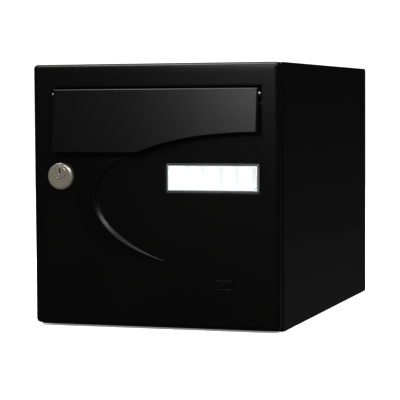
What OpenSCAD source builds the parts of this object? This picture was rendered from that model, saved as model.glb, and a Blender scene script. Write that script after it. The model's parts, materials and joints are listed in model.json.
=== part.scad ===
// Wall mounted mailbox with a hinged front door, a sprung letter flap, a name window and a cam lock.
// Millimetres. +X is to the right seen from the front, +Z is up, and the front faces -Y.
// The origin is the centre of the four wall holes, on the back face that rests on the wall (Y = 0).

/* [Casing] */
// Width of the casing and of the door
case_w = 282; // [260:1:400]
// Height of the casing
case_h = 290; // [270:1:420]
// Depth from the wall to the front lips of the casing
case_d = 414.8; // [300:0.1:520]
// Thickness of the casing sheet
sheet_t = 1.2; // [0.8:0.1:1.6]
// Outer radius of the folds at the back of the wrap
back_r = 5; // [3:0.5:8]
// Outer radius of the folds at the front lips
lip_r = 2; // [1.6:0.2:3]
// Width of the front lips, measured from the outside of the casing
lip_w = 9.4; // [9:0.1:14]
// Width of the rims folded in along the side panels
rim_w = 12; // [8:1:20]

/* [Fixing holes] */
// Diameter of the wall holes
wall_hole_d = 8; // [5:0.5:10]
// Distance between the wall holes, across
wall_hole_x = 200; // [120:5:230]
// Distance between the wall holes, up
wall_hole_z = 200; // [120:5:230]
// Diameter of the post holes in the bottom
post_hole_d = 8; // [5:0.5:10]
// Distance between the post holes, across
post_hole_x = 160; // [100:5:200]
// Distance between the post holes, front to back
post_hole_y = 200; // [100:5:220]
// Distance from the wall to the middle of the post holes
post_mid = 200; // [130:5:240]

/* [Rain collar] */
// Thickness of the collar sheet
collar_t = 1.2; // [0.8:0.1:1.6]
// How far the collar stands in front of the casing lips
collar_reach = 9.2; // [6:0.2:12]
// Width of the collar's flange behind the lips
collar_flange = 7.2; // [5:0.2:9]

/* [Door] */
// Depth of the door tray
door_depth = 11.2; // [10:0.1:20]
// Thickness of the door sheet
door_t = 1.2; // [0.8:0.1:1.6]
// Gap between the casing lips and the door's rim
door_gap = 6; // [5.8:0.1:9]
// How far the door's bottom edge stays above the casing's bottom
door_raise = 3; // [1:0.5:6]
// Radius of the door's front edges and corners
door_r = 4.5; // [3:0.5:7]

/* [Door hinges] */
// Radius of the hinge knuckles
knuckle_r = 2.5; // [2:0.1:2.6]
// Radius of the hinge pins
pin_r = 1.25; // [1:0.05:1.3]
// Height of one hinge
hinge_h = 22; // [18:1:40]
// Distance from the casing's top or bottom to its hinge
hinge_inset = 11; // [11:1:50]
// Thickness of the hinge leaves
leaf_t = 1.2; // [0.8:0.1:1.4]

/* [Letter slot and flap] */
// Clear width of the letter slot
slot_w = 230; // [150:1:232]
// Clear height of the letter slot
slot_h = 32; // [25:1:36]
// Distance from the door's top edge down to the flap's rod
rod_drop = 33.8; // [28:0.2:45]
// Distance from the door's middle to the flap's middle, to the right
flap_x = 2.9; // [-8:0.1:8]
// Thickness of the flap sheet
flap_t = 1; // [0.8:0.1:1.2]
// Height of the flap below its rod, on the tall side
flap_tall = 63.3; // [50:0.1:66]
// Height of the flap below its rod, on the short side
flap_short = 41.4; // [38.4:0.1:46]
// Height of the flap above its rod
flap_above = 6.3; // [5.8:0.1:7]
// Depth of the flap's folded sides
flap_side = 5.5; // [5:0.1:6]
// Angle that the closed flap leans out from the door
flap_tilt = 7; // [4:0.5:10]
// Radius of the flap's rod
rod_r = 1.5; // [1.2:0.1:1.6]
// Distance from the door's face to the rod's axis
rod_out = 3.2; // [3.2:0.1:4]
// Thickness of the brackets that hold the rod
bracket_t = 1.2; // [1:0.1:1.4]
// Diameter of the spring wire
wire_d = 0.8; // [0.6:0.1:0.9]
// Number of turns in each flap spring
spring_turns = 5; // [3:1:8]

/* [Name window] */
// Width of the card that shows
card_w = 100.2; // [60:0.1:110]
// Height of the card that shows
card_h = 26.6; // [20:0.1:32]
// Width of the clear border round the card
window_rim = 2.4; // [1.5:0.1:4]
// How far the window stands out from the door
window_out = 1.6; // [0.8:0.1:2.5]
// Distance from the door's right edge to the window's middle
window_inset = 74; // [60:0.1:90]
// Distance from the door's top edge down to the window's middle
window_drop = 124.1; // [118:0.1:150]

/* [Lock] */
// Radius of the lock's round rose
rose_r = 14.7; // [13.5:0.1:17]
// How far the rose stands out from its gasket
rose_out = 5; // [3:0.1:7]
// Radius of the lock's threaded barrel
barrel_r = 9.5; // [9.2:0.1:10.5]
// Radius of the turning plug
plug_r = 5; // [4.6:0.1:5.2]
// Height of the plug's axis above the rose's middle
plug_up = 4.4; // [3.6:0.1:4.8]
// Distance from the door's top edge down to the middle of the rose
lock_drop = 123; // [118:0.5:150]
// Distance from the door's left edge to the lock
lock_inset = 33; // [32:0.5:40]
// Distance from the plug's axis to the cam's tip
cam_reach = 28; // [26:0.5:29]

/* [Pressed relief] */
// Height of the crescent pressed in the door
crescent_h = 4; // [2:0.5:5]
// Width of the crescent's gentle outer slope
crescent_slope = 24; // [12:1:30]
// Width of the crescent's steep inner wall
crescent_wall = 5.5; // [4:0.5:8]
// Width of the envelope emblem
emblem_w = 19; // [12:1:26]

/* [Hidden] */
$fn = 64;

// Shared clearances
past = 1;               // how far a cutting shape runs past what it cuts
eps = 0.05;             // how far two joined shapes run into each other
running = 0.05;         // radial clearance of a pin or shaft in its hole
seat_gap = 0.2;         // clearance round a piece that drops into a cut-out

// Colours
black = [0.03, 0.03, 0.033];
flap_black = [0.06, 0.06, 0.065];
steel = [0.62, 0.61, 0.58];
zinc = [0.72, 0.73, 0.75];
rubber = [0.05, 0.05, 0.05];
brass = [0.75, 0.6, 0.3];
clear = [0.8, 0.85, 0.88, 0.35];

// Casing planes
half_w = case_w / 2;
half_h = case_h / 2;
lip_y = -case_d;
opening_w = case_w - 2 * (lip_w + seat_gap + collar_t);
opening_h = case_h - 2 * (lip_w + seat_gap + collar_t);
fold_r = 0.4;           // smallest inner radius of a fold

// Door planes
rim_y = lip_y - door_gap;
face_y = rim_y - door_depth;
back_y = face_y + door_t;
door_top = half_h;
door_bottom = -half_h + door_raise;
door_fn = 32;           // facets round the door's corners

// Door hinge axis: its knuckles sit between the casing lips and the door's rim
hinge_shift = 0.2;      // from the middle of the gap towards the door
hinge_x = half_w - knuckle_r;
hinge_y = lip_y - door_gap / 2 - hinge_shift;
knuckle_gap = 0.4;      // gap between the knuckles, end to end
knuckle_h = (hinge_h - 2 * knuckle_gap) / 3;
knuckle_bite = 0.4;     // how far a leaf runs into its knuckles
leaf_clear = 0.7;       // between the collar and the frame leaf
pin_head = 0.8;
pin_lip = 0.6;          // how far a pin's head stands out round the pin
upper_hinge_z = half_h - hinge_inset - hinge_h;
lower_hinge_z = -half_h + hinge_inset;

// Flap: its rod runs in front of the door, and the slot lies below it
rod_z = door_top - rod_drop;
rod_y = face_y - rod_out;
flap_gap = 3.6;         // from the rod's axis to the inside of the flap
flap_r = 2;             // radius of the flap's folded edges
ear_gap = 0.3;          // between the flap and the pieces beside it
bracket_out = slot_w / 2 + bracket_t;
flap_half = bracket_out + ear_gap + flap_t;
slot_top = rod_z - rod_r - 1.7;
slot_bottom = slot_top - slot_h;
cut_top = rod_z + 8.3;               // top of the cut-out that the flap's top edge swings into
cut_half = flap_half + 0.9;
shoulder_z = rod_z - 7.2;            // where the wide upper cut-out meets the slot
bracket_r = 2.8;        // rounded end of the bracket and of the flap's ear
bracket_deep = 6;       // depth of the bracket's strip behind the door
bracket_foot = 10;      // width of the bracket's welded foot
buffer_r = 1.6;
buffer_drop = 10.7;     // from the rod down to the buffers
buffer_gap = 0.5;       // from a buffer's middle to the flap's ear
clip_t = 0.8;
clip_rim = 1.1;         // how far a clip stands out round the rod
rod_half = flap_half + ear_gap + clip_t + 0.5;
top_inset = 1;          // from the brackets to the flap's folded top edge

// Flap springs
spring_r = rod_r + 0.2 + wire_d / 2;
spring_pitch = wire_d + 0.12;
spring_foot = 4;        // how far behind the rod the spring's fixed leg ends
spring_start = slot_w / 2 - 2.2;
wire_gap = 0.15;        // clearance of the wire in its hole and behind the flap
spring_ring_steps = 12; // rings of points in one turn

// Name window
window_x = half_w - window_inset;
window_z = door_top - window_drop;
window_w = card_w + 2 * window_rim;
window_h = card_h + 2 * window_rim;
window_edge = 0.7;      // bevel round the window's front
window_r = 2.2;         // radius of its corners
window_t = 0.8;         // thickness of the clear front
skirt_t = 0.8;          // wall that runs round the card and drops into the door
pocket_w = card_w + 2 * seat_gap;
pocket_h = card_h + 2 * seat_gap;
skirt_w = pocket_w + 2 * skirt_t;
skirt_h = pocket_h + 2 * skirt_t;
skirt_back = back_y + 1;
card_t = 0.3;
card_y = face_y - window_out + window_t;
holder_wall = 5;
holder_t = 3.4;
holder_r = 2;

// Lock
lock_x = -half_w + lock_inset;
row_z = door_top - lock_drop;
barrel_z = row_z + plug_up / 2;
plug_z = row_z + plug_up;
gasket_t = 0.5;
gasket_inset = 0.4;     // the gasket is this much smaller than the rose
rose_back = face_y - gasket_t;
rose_front = rose_back - rose_out;
// Rounded edge of the rose: [how far in from its rim, how far back from its face]
rose_edge = [[0, 1.8], [0.5, 0.9], [1.3, 0.3], [2.3, 0]];
nut_t = 4;
nut_rim = 4.5;
strike_t = 1.2;
strike_half = 22;
strike_inset = 0.4;     // from the door opening's left edge to the strike
strike_back = lip_y + sheet_t + collar_t + strike_t;
cam_t = 2;
cam_r = 8;
cam_end_r = 5.5;
cam_front = strike_back + 0.4;
barrel_back = cam_front - 0.5;
plug_square = 6.4;
plug_end = 0.2;         // how far the plug's round part stands out of the barrel
cap_r = plug_r + 1.8;   // the plug's round front
cap_t = 2.2;
cap_out = 0.5;
cap_gap = 0.1;
wafer_w = 6;
wafer_t = 0.8;
wafer_pitch = 2.6;
wafer_count = 5;
wafer_gap = 0.1;
wafer_bar = 0.9;        // what is left of a wafer above the key
wafer_y = rose_front + cap_t + 2.4;
key_w = 1.8;
key_h = 6.4;
key_up = 1;
screw_r = 1.9;
screw_l = 8;
head_r = 3.7;
head_h = 2.2;
cross_l = 4.8;          // the cross in the screw's head: length, width and depth
cross_w = 1;
cross_deep = 1.2;
washer_r = 5.6;
washer_t = 0.8;
cam_back = cam_front + cam_t;
clamp_gap = 0.1;        // the plug's square ends this far below the cam's back

// Door bumpers
bumper_r = 4;
bumper_inset = 34;      // from the opening's corners
bumper_gap = 0.4;

// Crescent: its crest line is a cubic curve through guide points, set from the door's middle and
// the rose's height
crest_guide = [[-32.7, 21.4], [-88.8, -1.1], [-86.8, -64.2], [11.3, -91.8]];
// Its cross-section outside the crest: [share of the slope's width, share of the height]
crest_slope = [[0, 1], [0.15, 0.8], [0.35, 0.45], [0.65, 0.14], [1, 0]];
crest_steps = 28;
crest_start = 0.02;     // share of the curve left out at each end
crest_probe = 0.01;     // half the step that the curve's direction is taken over
crest_blunt = 0.8;      // less than 1 makes the crescent's ends blunter
press_back = door_t + 0.1;           // from the crescent's front to the hollow behind it

// Emblem, low on the door's right
emblem_x = half_w - 61.5;
emblem_z = -half_h + 50.3;
emblem_bar = 1.1;
emblem_out = 0.4;
emblem_ratio = 0.56;    // height to width
emblem_dip = 0.1;       // how far the envelope's flap points below its middle, as a share of that half

// Bottom edge of the flap: where its sweep starts, and how far across its curve's guide point lies
flap_kink = -17.4;
flap_sweep = 54;
flap_steps = 24;

// ---------- helpers ----------

// A flat shape drawn as (Y, Z), extruded along X from x0 to x1
module along_x(x0, x1) { translate([x0, 0, 0]) rotate([90, 0, 90]) linear_extrude(x1 - x0) children(); }

// A flat shape drawn as (X, Z), extruded along Y from y0 (front) to y1 (back)
module along_y(y0, y1) { translate([0, y1, 0]) rotate([90, 0, 0]) linear_extrude(y1 - y0) children(); }

// A flat shape drawn as (X, Y), extruded along Z from z0 to z1
module along_z(z0, z1) { translate([0, 0, z0]) linear_extrude(z1 - z0) children(); }

// A box between two corners
module block(low, high) { translate(low) cube(high - low); }

// A cylinder along Y from y0 to y1 at (x, z)
module bar_y(x, z, r, y0, y1) { translate([x, y1, z]) rotate([90, 0, 0]) cylinder(h = y1 - y0, r = r); }

// A cylinder along X from x0 to x1 at (y, z)
module bar_x(y, z, r, x0, x1) { translate([x0, y, z]) rotate([0, 90, 0]) cylinder(h = x1 - x0, r = r); }

// A rectangle between two corners with its corners rounded
module round_rect(w, h, r) {
    square([w - 2 * r, h], center = true);
    square([w, h - 2 * r], center = true);
    for (sx = [-1, 1], sz = [-1, 1])
        translate([sx * (w / 2 - r), sz * (h / 2 - r)]) circle(r = r);
}

// Calls its children once per corner of a rectangle of holes
module at_corners(x, z) { for (sx = [-1, 1], sz = [-1, 1]) translate([sx * x / 2, sz * z / 2]) children(); }

// ---------- casing ----------

// Side view of the casing as (Y, Z), drawn in by a sheet thickness where asked
module side_outline(inset) {
    front = lip_y + inset;
    back = -inset;
    top = half_h - inset;
    br = back_r - inset;
    fr = max(lip_r - inset, fold_r);
    difference() {
        translate([front, -top]) square([back - front, 2 * top]);
        for (s = [-1, 1]) {
            corner_cut(back, s * top, -1, -s, br);
            corner_cut(front, s * top, 1, -s, fr);
        }
    }
}

// What a round corner removes from a square one at (x, z), where (dx, dz) points inwards
module corner_cut(x, z, dx, dz, r) {
    difference() {
        translate([dx > 0 ? x - past : x - r, dz > 0 ? z - past : z - r]) square(r + past);
        translate([x + dx * r, z + dz * r]) circle(r = r);
    }
}

module casing_wrap() {
    side_x = half_w - sheet_t;
    color(black) difference() {
        along_x(-side_x, side_x) difference() {
            side_outline(0);
            side_outline(sheet_t);
            translate([lip_y - past, -half_h + lip_w]) square([sheet_t + 2 * past, case_h - 2 * lip_w]);
        }
        // the side panels' front lips take the ends of the wrap's lips
        for (s = [0, 1])
            mirror([s, 0, 0])
                block([half_w - lip_w - seat_gap, lip_y - past, -half_h + sheet_t],
                      [half_w, lip_y + sheet_t + eps, half_h - sheet_t]);
        along_y(-sheet_t - past, past) at_corners(wall_hole_x, wall_hole_z) circle(d = wall_hole_d);
        translate([0, -post_mid, 0]) along_z(-half_h - past, -half_h + sheet_t + past)
            at_corners(post_hole_x, post_hole_y) circle(d = post_hole_d);
    }
}

// Plan of a side panel with its front lip, as (X, Y), for the right-hand side
module side_plan() {
    difference() {
        translate([half_w - lip_w, lip_y]) square([lip_w, case_d]);
        translate([half_w - lip_w - past, lip_y + sheet_t]) square([lip_w + past - sheet_t, case_d]);
        corner_cut(half_w, lip_y, -1, 1, lip_r);
    }
}

module side_panel() {
    plate_x = half_w - sheet_t;
    // the sheet and its front lip; the lip stops inside the wrap
    difference() {
        intersection() {
            along_z(-half_h, half_h) side_plan();
            along_x(0, half_w + past) side_outline(0);
        }
        for (s = [0, 1])
            mirror([0, 0, s])
                block([0, lip_y - past, half_h - sheet_t],
                      [plate_x, lip_y + sheet_t + past, half_h + past]);
    }
    // the rim folded in along the top, the back and the bottom, inside the wrap
    along_x(plate_x - rim_w, plate_x + eps) difference() {
        side_outline(sheet_t);
        side_outline(2 * sheet_t);
        translate([lip_y - past, -half_h]) square([collar_flange + past, case_h]);
    }
}

module right_side_panel() { color(black) side_panel(); }

module left_side_panel() { color(black) mirror([1, 0, 0]) side_panel(); }

module door_frame_collar() {
    outer_w = opening_w + 2 * collar_t;
    outer_h = opening_h + 2 * collar_t;
    flange_y = lip_y + sheet_t;
    color(black) difference() {
        union() {
            along_y(lip_y - collar_reach, flange_y + collar_t)
                square([outer_w, outer_h], center = true);
            along_y(flange_y, flange_y + collar_t)
                square([outer_w + 2 * collar_flange, outer_h + 2 * collar_flange], center = true);
        }
        along_y(lip_y - collar_reach - past, flange_y + collar_t + past)
            square([opening_w, opening_h], center = true);
    }
}

// ---------- door hinges: each is drawn with its lower end at Z = 0 ----------

module knuckle(z0) {
    difference() {
        translate([hinge_x, hinge_y, z0]) cylinder(h = knuckle_h, r = knuckle_r);
        translate([hinge_x, hinge_y, z0 - past]) cylinder(h = knuckle_h + 2 * past, r = pin_r + running);
    }
}

// Half that is welded to the casing's right front lip, with the two outer knuckles
module frame_leaf() {
    step = knuckle_h + knuckle_gap;
    leaf_x = opening_w / 2 + collar_t + leaf_clear;
    free_x = hinge_x - knuckle_r - knuckle_gap;
    block([leaf_x, lip_y - leaf_t, 0], [free_x, lip_y, hinge_h]);
    for (z0 = [0, 2 * step]) {
        knuckle(z0);
        difference() {
            block([free_x - eps, lip_y - leaf_t, z0], [hinge_x, lip_y, z0 + knuckle_h]);
            translate([hinge_x, hinge_y, z0 - past])
                cylinder(h = knuckle_h + 2 * past, r = knuckle_r - knuckle_bite);
        }
    }
}

// Half that is welded inside the door's right rim, with the middle knuckle
module door_leaf() {
    step = knuckle_h + knuckle_gap;
    leaf_x = half_w - door_t - leaf_t;
    block([leaf_x, back_y + door_r, 0], [leaf_x + leaf_t, rim_y, hinge_h]);
    knuckle(step);
    difference() {
        block([leaf_x, rim_y - eps, step], [leaf_x + leaf_t, hinge_y, step + knuckle_h]);
        translate([hinge_x, hinge_y, step - past])
            cylinder(h = knuckle_h + 2 * past, r = knuckle_r - knuckle_bite);
    }
}

module hinge_pin() {
    translate([hinge_x, hinge_y, 0]) {
        cylinder(h = hinge_h, r = pin_r);
        for (z0 = [-pin_head, hinge_h]) translate([0, 0, z0]) cylinder(h = pin_head, r = pin_r + pin_lip);
    }
}

module upper_hinge_frame_leaf() { color(black) translate([0, 0, upper_hinge_z]) frame_leaf(); }
module lower_hinge_frame_leaf() { color(black) translate([0, 0, lower_hinge_z]) frame_leaf(); }
module upper_hinge_door_leaf() { color(black) translate([0, 0, upper_hinge_z]) door_leaf(); }
module lower_hinge_door_leaf() { color(black) translate([0, 0, lower_hinge_z]) door_leaf(); }
module upper_hinge_pin() { color(zinc) translate([0, 0, upper_hinge_z]) hinge_pin(); }
module lower_hinge_pin() { color(zinc) translate([0, 0, lower_hinge_z]) hinge_pin(); }

// ---------- door panel ----------

// One corner post of the door's block: a round bar that ends in a half ball at the front
module door_post(r, back) {
    rotate([90, 0, 0]) rotate_extrude($fn = door_fn) {
        intersection() {
            circle(r = r, $fn = door_fn);
            square(r);
        }
        translate([0, -back]) square([r, back]);
    }
}

// The door's rounded block, drawn in by a sheet thickness where asked; open at the back
module door_block(inset, back) {
    start_y = face_y + door_r;
    low_z = door_bottom + door_r;
    high_z = door_top - door_r;
    hull() for (s = [-1, 1], z = [low_z, high_z])
        translate([s * (half_w - door_r), start_y, z]) door_post(door_r - inset, back - start_y);
}

// Cut-out for the letter slot, with a wider part above it where the flap swings
module slot_cut() {
    along_y(face_y - past, back_y + past) translate([flap_x, 0]) {
        translate([-slot_w / 2, slot_bottom]) square([slot_w, cut_top - slot_bottom]);
        translate([-cut_half, shoulder_z]) square([2 * cut_half, cut_top - shoulder_z]);
    }
}

function cubic(g, t) = pow(1 - t, 3) * g[0] + 3 * pow(1 - t, 2) * t * g[1]
                       + 3 * (1 - t) * t * t * g[2] + pow(t, 3) * g[3];
function crest(t) = cubic(crest_guide, t);
function crest_out(t) = let (d = crest(t + crest_probe) - crest(t - crest_probe)) [d[1], -d[0]] / norm(d);
function crest_swell(t) = pow(sin(180 * t), crest_blunt);

// One ring of points across the crescent, from the inner foot over the crest to the outer foot and back
function crest_ring(t) =
    let (p = crest(t), n = crest_out(t), k = crest_swell(t), root = face_y + door_t / 2,
         inner = p - n * crescent_wall * k, outer = p + n * crescent_slope * k)
    concat([[inner[0], face_y, inner[1]]],
           [for (s = crest_slope) let (q = p + n * crescent_slope * k * s[0])
               [q[0], face_y - crescent_h * k * s[1], q[1]]],
           [[outer[0], root, outer[1]], [inner[0], root, inner[1]]]);

// A closed solid through rings of points
module skin(rings) {
    m = len(rings[0]);
    n = len(rings);
    points = [for (ring = rings) for (q = ring) q];
    sides = [for (i = [0:n - 2]) for (j = [0:m - 1])
             let (a = i * m + j, b = i * m + (j + 1) % m)
             for (f = [[a, b + m, b], [a, a + m, b + m]]) f];
    caps = [[for (j = [0:m - 1]) j], [for (j = [m - 1:-1:0]) (n - 1) * m + j]];
    polyhedron(points, concat(sides, caps), convexity = 6);
}

// The crescent as a closed solid on the door's face
module crescent() {
    translate([0, 0, row_z])
        skin([for (i = [0:crest_steps]) crest_ring(crest_start + (1 - 2 * crest_start) * i / crest_steps)]);
}

// A flat line of width w from a to b
module stroke(a, b, w) {
    d = b - a;
    translate(a) rotate(atan2(d[1], d[0])) translate([0, -w / 2]) square([norm(d), w]);
}

// Outline of a sealed envelope, raised on the sheet
module emblem() {
    w = emblem_w / 2;
    h = w * emblem_ratio;
    along_y(face_y - emblem_out, face_y + door_t / 2) translate([emblem_x, emblem_z]) {
        difference() {
            square([2 * w, 2 * h], center = true);
            square(2 * [w - emblem_bar, h - emblem_bar], center = true);
        }
        for (s = [-1, 1]) stroke([s * (w - emblem_bar), h - emblem_bar], [0, -emblem_dip * h], emblem_bar);
    }
}

module door_panel() {
    color(black) {
        difference() {
            union() {
                difference() {
                    door_block(0, rim_y);
                    door_block(door_t, rim_y + past);
                }
                crescent();
            }
            translate([0, press_back, 0]) crescent();
            slot_cut();
            along_y(face_y - past, back_y + past) translate([window_x, window_z])
                square([skirt_w + 2 * seat_gap, skirt_h + 2 * seat_gap], center = true);
            bar_y(lock_x, barrel_z, barrel_r + running, face_y - past, back_y + past);
        }
        emblem();
    }
}

// ---------- flap, its rod, brackets and springs ----------

// Side view of a bracket as (Y, Z): an arm through the cut-out and a strip down behind the door
module bracket_side() {
    translate([rod_y, rod_z]) circle(r = bracket_r);
    translate([rod_y, shoulder_z + seat_gap])
        square([back_y + bracket_deep - rod_y, rod_z + bracket_r - shoulder_z - seat_gap]);
    translate([back_y, shoulder_z - bracket_foot])
        square([bracket_deep, rod_z + bracket_r - shoulder_z + bracket_foot]);
}

// Right-hand bracket, placed from the flap's middle
module flap_bracket() {
    difference() {
        union() {
            along_x(slot_w / 2, bracket_out) bracket_side();
            block([slot_w / 2, back_y, shoulder_z - bracket_foot],
                  [bracket_out + bracket_foot, back_y + bracket_t, shoulder_z - seat_gap]);
        }
        bar_x(rod_y, rod_z, rod_r, slot_w / 2 - past, bracket_out + past);
        bar_x(rod_y + spring_foot, rod_z - spring_r, wire_d / 2 + wire_gap,
              slot_w / 2 - past, bracket_out + past);
    }
}

// Places what is drawn from the flap's middle, or its mirror image
module at_flap(mirrored = 0) { translate([flap_x, 0, 0]) mirror([mirrored, 0, 0]) children(); }

module flap_bracket_right() { color(black) at_flap() flap_bracket(); }
module flap_bracket_left() { color(black) at_flap(1) flap_bracket(); }

module flap_rod() {
    color(zinc) at_flap() bar_x(rod_y, rod_z, rod_r, -rod_half, rod_half);
}

module flap_rod_clips() {
    color(zinc)
        for (s = [0, 1])
            at_flap(s) difference() {
                bar_x(rod_y, rod_z, rod_r + clip_rim, flap_half + ear_gap, flap_half + ear_gap + clip_t);
                bar_x(rod_y, rod_z, rod_r, flap_half, rod_half + past);
            }
}

// Centre line of a spring: a leg behind the rod, the turns round it, and a leg up behind the flap
spring_sweep = 360 * spring_turns + 90;
spring_count = spring_ring_steps * spring_turns + 3;
spring_tip = [-flap_gap + wire_d / 2 + wire_gap, flap_above - flap_t - wire_d / 2 - ear_gap];
function turned(p, a) = [p[0] * cos(a) - p[1] * sin(a), p[0] * sin(a) + p[1] * cos(a)];
function spring_turn(i) =
    let (share = i / spring_count, a = -90 - spring_sweep * share)
    [spring_start - spring_pitch * spring_sweep * share / 360, spring_r * cos(a), spring_r * sin(a)];
function spring_path() =
    let (last = spring_turn(spring_count), tip = turned(spring_tip, -flap_tilt))
    concat([[spring_start, spring_foot, -spring_r], [spring_start, spring_foot / 2, -spring_r]],
           [for (i = [0:spring_count]) spring_turn(i)],
           [[last[0], (last[1] + tip[0]) / 2, tip[1] / 2], [last[0], tip[0], tip[1]]]);
function wire_ring(path, i) =
    let (d = path[min(i + 1, len(path) - 1)] - path[max(i - 1, 0)], t = d / norm(d),
         n = cross(t, [1, 0, 0]) / norm(cross(t, [1, 0, 0])), b = cross(t, n))
    [for (k = [0:5]) path[i] + wire_d / 2 * (cos(60 * k) * n + sin(60 * k) * b)];

// Right-hand spring: the wire and its foot, which hooks through the bracket
module flap_spring() {
    path = spring_path();
    translate([0, rod_y, rod_z]) {
        skin([for (i = [0:len(path) - 1]) wire_ring(path, i)]);
        bar_x(spring_foot, -spring_r, wire_d / 2, spring_start - wire_d / 2, bracket_out);
    }
}

module flap_spring_right() { color(zinc) at_flap() flap_spring(); }
module flap_spring_left() { color(zinc) at_flap(1) flap_spring(); }

// The closed flap's ears rest on these
module flap_buffers() {
    lean = buffer_drop * sin(flap_tilt) - (flap_side - flap_gap - flap_t) * cos(flap_tilt);
    color(rubber)
        for (s = [0, 1])
            at_flap(s)
                bar_y(flap_half - flap_t / 2, rod_z - buffer_drop, buffer_r,
                      rod_y - lean + buffer_gap, face_y);
}

// Front view of the flap as (X, Z) from the rod's middle: its bottom edge sweeps up to the right
module flap_outline() {
    guide = [[flap_kink, -flap_tall], [flap_kink + flap_sweep, -flap_short], [flap_half, -flap_short]];
    bottom = [for (i = [0:flap_steps]) let (t = i / flap_steps)
              pow(1 - t, 2) * guide[0] + 2 * t * (1 - t) * guide[1] + t * t * guide[2]];
    polygon(concat([[-flap_half, flap_above], [-flap_half, -flap_tall]], bottom,
                   [[flap_half, flap_above]]));
}

module flap_plate() {
    front = -flap_gap - flap_t;
    rear = front + flap_side;
    color(flap_black) translate([flap_x, rod_y, rod_z]) rotate([-flap_tilt, 0, 0]) difference() {
        intersection() {
            along_y(front, bracket_r) flap_outline();
            // folded edges: round along the top and down both sides
            along_x(-flap_half, flap_half) difference() {
                translate([front, -flap_tall]) square([bracket_r - front, flap_tall + flap_above]);
                corner_cut(front, flap_above, 1, -1, flap_r);
            }
            along_z(-flap_tall, flap_above) difference() {
                translate([-flap_half, front]) square([2 * flap_half, bracket_r - front]);
                for (s = [-1, 1]) corner_cut(s * flap_half, front, -s, 1, flap_r);
            }
            union() {
                block([-flap_half, front, -flap_tall], [flap_half, -flap_gap, flap_above]);
                block([top_inset - slot_w / 2, front, flap_above - flap_t],
                      [slot_w / 2 - top_inset, 0, flap_above]);
                for (s = [0, 1])
                    mirror([s, 0, 0]) along_x(flap_half - flap_t, flap_half) {
                        translate([front, -flap_tall]) square([flap_side, flap_tall + flap_above]);
                        circle(r = bracket_r);
                    }
            }
        }
        bar_x(0, 0, rod_r + running, -flap_half - past, flap_half + past);
    }
}

// ---------- name window ----------

// Clear cap: a rim on the door's face, and a skirt that drops into the cut-out and holds the card
module name_window() {
    color(clear) translate([window_x, 0, window_z]) difference() {
        union() {
            along_y(face_y - window_out + window_edge, face_y) round_rect(window_w, window_h, window_r);
            along_y(face_y - window_out, face_y)
                round_rect(window_w - window_edge, window_h - window_edge, window_r - window_edge / 2);
            along_y(face_y - eps, skirt_back) square([skirt_w, skirt_h], center = true);
        }
        along_y(card_y, skirt_back + past) square([pocket_w, pocket_h], center = true);
    }
}

module name_card() {
    color("white") translate([window_x, 0, window_z])
        along_y(card_y, card_y + card_t) square([card_w, card_h], center = true);
}

// Backing behind the door: its raised middle presses the card against the clear front
module name_card_holder() {
    color(rubber) translate([window_x, 0, window_z]) {
        difference() {
            along_y(back_y, back_y + holder_t)
                round_rect(skirt_w + 2 * holder_wall, skirt_h + 2 * holder_wall, holder_r);
            along_y(back_y - past, skirt_back + seat_gap)
                square([skirt_w + 2 * seat_gap, skirt_h + 2 * seat_gap], center = true);
        }
        along_y(card_y + card_t, back_y + holder_t) square([card_w, card_h], center = true);
    }
}

// ---------- door buffers ----------

module door_bumpers() {
    color(rubber)
        for (s = [-1, 1])
            bar_y(-(opening_w + collar_t) / 2, s * (opening_h / 2 - bumper_inset), bumper_r,
                  back_y, lip_y - collar_reach - bumper_gap);
}

// ---------- lock ----------

module lock_housing() {
    color(steel) difference() {
        union() {
            translate([lock_x, rose_back, row_z]) rotate([90, 0, 0]) rotate_extrude($fn = 96)
                polygon(concat([[0, 0], [rose_r, 0]],
                               [for (p = rose_edge) [rose_r - p[0], rose_out - p[1]]], [[0, rose_out]]));
            bar_y(lock_x, barrel_z, barrel_r, rose_back - eps, barrel_back);
        }
        bar_y(lock_x, plug_z, plug_r + running, rose_front - past, barrel_back + past);
        bar_y(lock_x, plug_z, cap_r + cap_gap, rose_front - past, rose_front + cap_t - cap_out + running);
    }
}

module lock_gasket() {
    color(rubber) difference() {
        bar_y(lock_x, row_z, rose_r - gasket_inset, rose_back, face_y);
        bar_y(lock_x, barrel_z, barrel_r, rose_back - past, face_y + past);
    }
}

module lock_nut() {
    color(zinc) difference() {
        bar_y(lock_x, barrel_z, barrel_r + nut_rim, back_y, back_y + nut_t, $fn = 6);
        bar_y(lock_x, barrel_z, barrel_r, back_y - past, back_y + nut_t + past);
    }
}

module lock_plug() {
    cap_front = rose_front - cap_out;
    color(steel) difference() {
        union() {
            bar_y(lock_x, plug_z, cap_r, cap_front, cap_front + cap_t);
            bar_y(lock_x, plug_z, plug_r, cap_front, barrel_back + plug_end);
            block([lock_x - plug_square / 2, barrel_back, plug_z - plug_square / 2],
                  [lock_x + plug_square / 2, cam_back - clamp_gap, plug_z + plug_square / 2]);
        }
        block([lock_x - key_w / 2, cap_front - past, plug_z + key_up - key_h / 2],
              [lock_x + key_w / 2, wafer_y + wafer_count * wafer_pitch, plug_z + key_up + key_h / 2]);
        translate([lock_x, 0, plug_z])
            for (i = [0:wafer_count - 1])
                let (y = wafer_y + i * wafer_pitch, w = wafer_w / 2 + wafer_gap)
                    block([-w, y - wafer_gap, -plug_r - past], [w, y + wafer_t + wafer_gap, plug_r + past]);
        bar_y(lock_x, plug_z, screw_r, cam_back - screw_l, cam_back + past);
    }
}

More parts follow.
